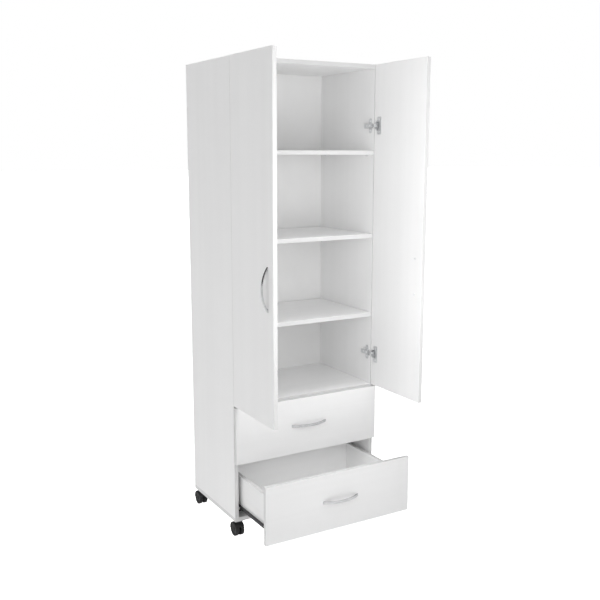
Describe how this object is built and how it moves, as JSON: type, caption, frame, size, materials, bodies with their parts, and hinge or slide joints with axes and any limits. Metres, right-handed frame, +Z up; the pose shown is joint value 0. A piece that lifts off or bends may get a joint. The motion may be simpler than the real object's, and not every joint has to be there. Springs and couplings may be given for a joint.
{
  "type": "wardrobe with doors",
  "caption": "Narrow white wardrobe on casters with hinged doors over shelves and drawers below, shown open.",
  "frame": {"origin": "on the floor under the middle of the bounding box, with the doors open and the lower drawer pulled out", "axes": "+Z up, +X to the right seen from the front, front faces -Y"},
  "size_m": [0.646, 0.6818, 1.7],
  "materials": {
    "white_laminate": "white melamine laminate on chipboard, fine grain",
    "white_hardboard": "white lacquered hardboard",
    "satin_metal": "satin silver plating",
    "zinc_steel": "bright zinc plating",
    "caster_steel": "zinc plating",
    "black_steel": "black powder coat",
    "roller_nylon": "white nylon",
    "caster_plastic": "black moulded nylon",
    "caster_wheel": "black moulded nylon"
  },
  "bodies": {
    "carcass": {"back_panel": "white_hardboard", "back_panel_nails": "zinc_steel", "bottom_panel": "white_laminate", "cabinet_rails": "black_steel", "cam_connectors": "zinc_steel", "carcass_screws": "zinc_steel", "caster_plates": "caster_steel", "drawer_deck": "white_laminate", "fitting_screws": "zinc_steel", "hinge_arms": "zinc_steel", "hinge_plates": "zinc_steel", "left_side_panel": "white_laminate", "lower_shelf": "white_laminate", "middle_shelf": "white_laminate", "right_side_panel": "white_laminate", "shelf_pins": "zinc_steel", "top_panel": "white_laminate", "upper_shelf": "white_laminate"},
    "left_door": {"left_door_handle": "satin_metal", "left_door_hinge_cups": "zinc_steel", "left_door_panel": "white_laminate", "left_door_screws": "zinc_steel"},
    "right_door": {"right_door_handle": "satin_metal", "right_door_hinge_cups": "zinc_steel", "right_door_panel": "white_laminate", "right_door_screws": "zinc_steel"},
    "lower_drawer": {"lower_drawer_back": "white_laminate", "lower_drawer_bottom": "white_hardboard", "lower_drawer_front": "white_laminate", "lower_drawer_handle": "satin_metal", "lower_drawer_inner_front": "white_laminate", "lower_drawer_left_side": "white_laminate", "lower_drawer_rails": "black_steel", "lower_drawer_right_side": "white_laminate", "lower_drawer_screws": "zinc_steel"},
    "lower_drawer_front_rollers": {"lower_drawer_front_rollers": "roller_nylon"},
    "lower_drawer_rear_rollers": {"lower_drawer_rear_rollers": "roller_nylon"},
    "upper_drawer": {"upper_drawer_back": "white_laminate", "upper_drawer_bottom": "white_hardboard", "upper_drawer_front": "white_laminate", "upper_drawer_handle": "satin_metal", "upper_drawer_inner_front": "white_laminate", "upper_drawer_left_side": "white_laminate", "upper_drawer_rails": "black_steel", "upper_drawer_right_side": "white_laminate", "upper_drawer_screws": "zinc_steel"},
    "upper_drawer_front_rollers": {"upper_drawer_front_rollers": "roller_nylon"},
    "upper_drawer_rear_rollers": {"upper_drawer_rear_rollers": "roller_nylon"},
    "front_left_caster_hood": {"front_left_caster_hood": "caster_plastic"},
    "front_left_caster_left_wheel": {"front_left_caster_left_wheel": "caster_wheel"},
    "front_left_caster_right_wheel": {"front_left_caster_right_wheel": "caster_wheel"},
    "front_right_caster_hood": {"front_right_caster_hood": "caster_plastic"},
    "front_right_caster_left_wheel": {"front_right_caster_left_wheel": "caster_wheel"},
    "front_right_caster_right_wheel": {"front_right_caster_right_wheel": "caster_wheel"},
    "rear_left_caster_hood": {"rear_left_caster_hood": "caster_plastic"},
    "rear_left_caster_left_wheel": {"rear_left_caster_left_wheel": "caster_wheel"},
    "rear_left_caster_right_wheel": {"rear_left_caster_right_wheel": "caster_wheel"},
    "rear_right_caster_hood": {"rear_right_caster_hood": "caster_plastic"},
    "rear_right_caster_left_wheel": {"rear_right_caster_left_wheel": "caster_wheel"},
    "rear_right_caster_right_wheel": {"rear_right_caster_right_wheel": "caster_wheel"}
  },
  "joints": [
    {"name": "left_door_hinge", "type": "hinge", "parent": "carcass", "child": "left_door", "pos_m": [-0.29265, -0.0495, 1.1], "axis": [0, 0, -1], "range_deg": [-90, 10]},
    {"name": "right_door_hinge", "type": "hinge", "parent": "carcass", "child": "right_door", "pos_m": [0.29265, -0.0495, 1.1], "axis": [0, 0, 1], "range_deg": [-90, 10]},
    {"name": "lower_drawer_slide", "type": "slide", "parent": "carcass", "child": "lower_drawer", "axis": [0, -1, 0], "range_m": [-0.22, 0.04]},
    {"name": "upper_drawer_slide", "type": "slide", "parent": "carcass", "child": "upper_drawer", "axis": [0, -1, 0], "range_m": [0, 0.26]},
    {"name": "lower_drawer_front_roller_spin", "type": "hinge", "parent": "carcass", "child": "lower_drawer_front_rollers", "pos_m": [0, -0.0259, 0.109], "axis": [1, 0, 0], "continuous": true},
    {"name": "lower_drawer_rear_roller_spin", "type": "hinge", "parent": "lower_drawer", "child": "lower_drawer_rear_rollers", "pos_m": [0, 0.0771, 0.109], "axis": [1, 0, 0], "continuous": true},
    {"name": "upper_drawer_front_roller_spin", "type": "hinge", "parent": "carcass", "child": "upper_drawer_front_rollers", "pos_m": [0, -0.0259, 0.3245], "axis": [1, 0, 0], "continuous": true},
    {"name": "upper_drawer_rear_roller_spin", "type": "hinge", "parent": "upper_drawer", "child": "upper_drawer_rear_rollers", "pos_m": [0, 0.2971, 0.3245], "axis": [1, 0, 0], "continuous": true},
    {"name": "front_left_caster_swivel", "type": "hinge", "parent": "carcass", "child": "front_left_caster_hood", "pos_m": [-0.28, -0.0199, 0.0602], "axis": [0, 0, 1], "continuous": true},
    {"name": "front_left_caster_left_wheel_spin", "type": "hinge", "parent": "front_left_caster_hood", "child": "front_left_caster_left_wheel", "pos_m": [-0.28, -0.0159, 0.025], "axis": [1, 0, 0], "continuous": true},
    {"name": "front_left_caster_right_wheel_spin", "type": "hinge", "parent": "front_left_caster_hood", "child": "front_left_caster_right_wheel", "pos_m": [-0.28, -0.0159, 0.025], "axis": [1, 0, 0], "continuous": true},
    {"name": "front_right_caster_swivel", "type": "hinge", "parent": "carcass", "child": "front_right_caster_hood", "pos_m": [0.28, -0.0199, 0.0602], "axis": [0, 0, 1], "continuous": true},
    {"name": "front_right_caster_left_wheel_spin", "type": "hinge", "parent": "front_right_caster_hood", "child": "front_right_caster_left_wheel", "pos_m": [0.28, -0.0159, 0.025], "axis": [1, 0, 0], "continuous": true},
    {"name": "front_right_caster_right_wheel_spin", "type": "hinge", "parent": "front_right_caster_hood", "child": "front_right_caster_right_wheel", "pos_m": [0.28, -0.0159, 0.025], "axis": [1, 0, 0], "continuous": true},
    {"name": "rear_left_caster_swivel", "type": "hinge", "parent": "carcass", "child": "rear_left_caster_hood", "pos_m": [-0.28, 0.3091, 0.0602], "axis": [0, 0, 1], "continuous": true},
    {"name": "rear_left_caster_left_wheel_spin", "type": "hinge", "parent": "rear_left_caster_hood", "child": "rear_left_caster_left_wheel", "pos_m": [-0.28, 0.3131, 0.025], "axis": [1, 0, 0], "continuous": true},
    {"name": "rear_left_caster_right_wheel_spin", "type": "hinge", "parent": "rear_left_caster_hood", "child": "rear_left_caster_right_wheel", "pos_m": [-0.28, 0.3131, 0.025], "axis": [1, 0, 0], "continuous": true},
    {"name": "rear_right_caster_swivel", "type": "hinge", "parent": "carcass", "child": "rear_right_caster_hood", "pos_m": [0.28, 0.3091, 0.0602], "axis": [0, 0, 1], "continuous": true},
    {"name": "rear_right_caster_left_wheel_spin", "type": "hinge", "parent": "rear_right_caster_hood", "child": "rear_right_caster_left_wheel", "pos_m": [0.28, 0.3131, 0.025], "axis": [1, 0, 0], "continuous": true},
    {"name": "rear_right_caster_right_wheel_spin", "type": "hinge", "parent": "rear_right_caster_hood", "child": "rear_right_caster_right_wheel", "pos_m": [0.28, 0.3131, 0.025], "axis": [1, 0, 0], "continuous": true}
  ],
  "couplings": [
    {"joint": "lower_drawer_front_roller_spin", "follows": "lower_drawer_slide", "rad_per_m": 129.87},
    {"joint": "lower_drawer_rear_roller_spin", "follows": "lower_drawer_slide", "rad_per_m": 129.87},
    {"joint": "upper_drawer_front_roller_spin", "follows": "upper_drawer_slide", "rad_per_m": 129.87},
    {"joint": "upper_drawer_rear_roller_spin", "follows": "upper_drawer_slide", "rad_per_m": 129.87}
  ]
}
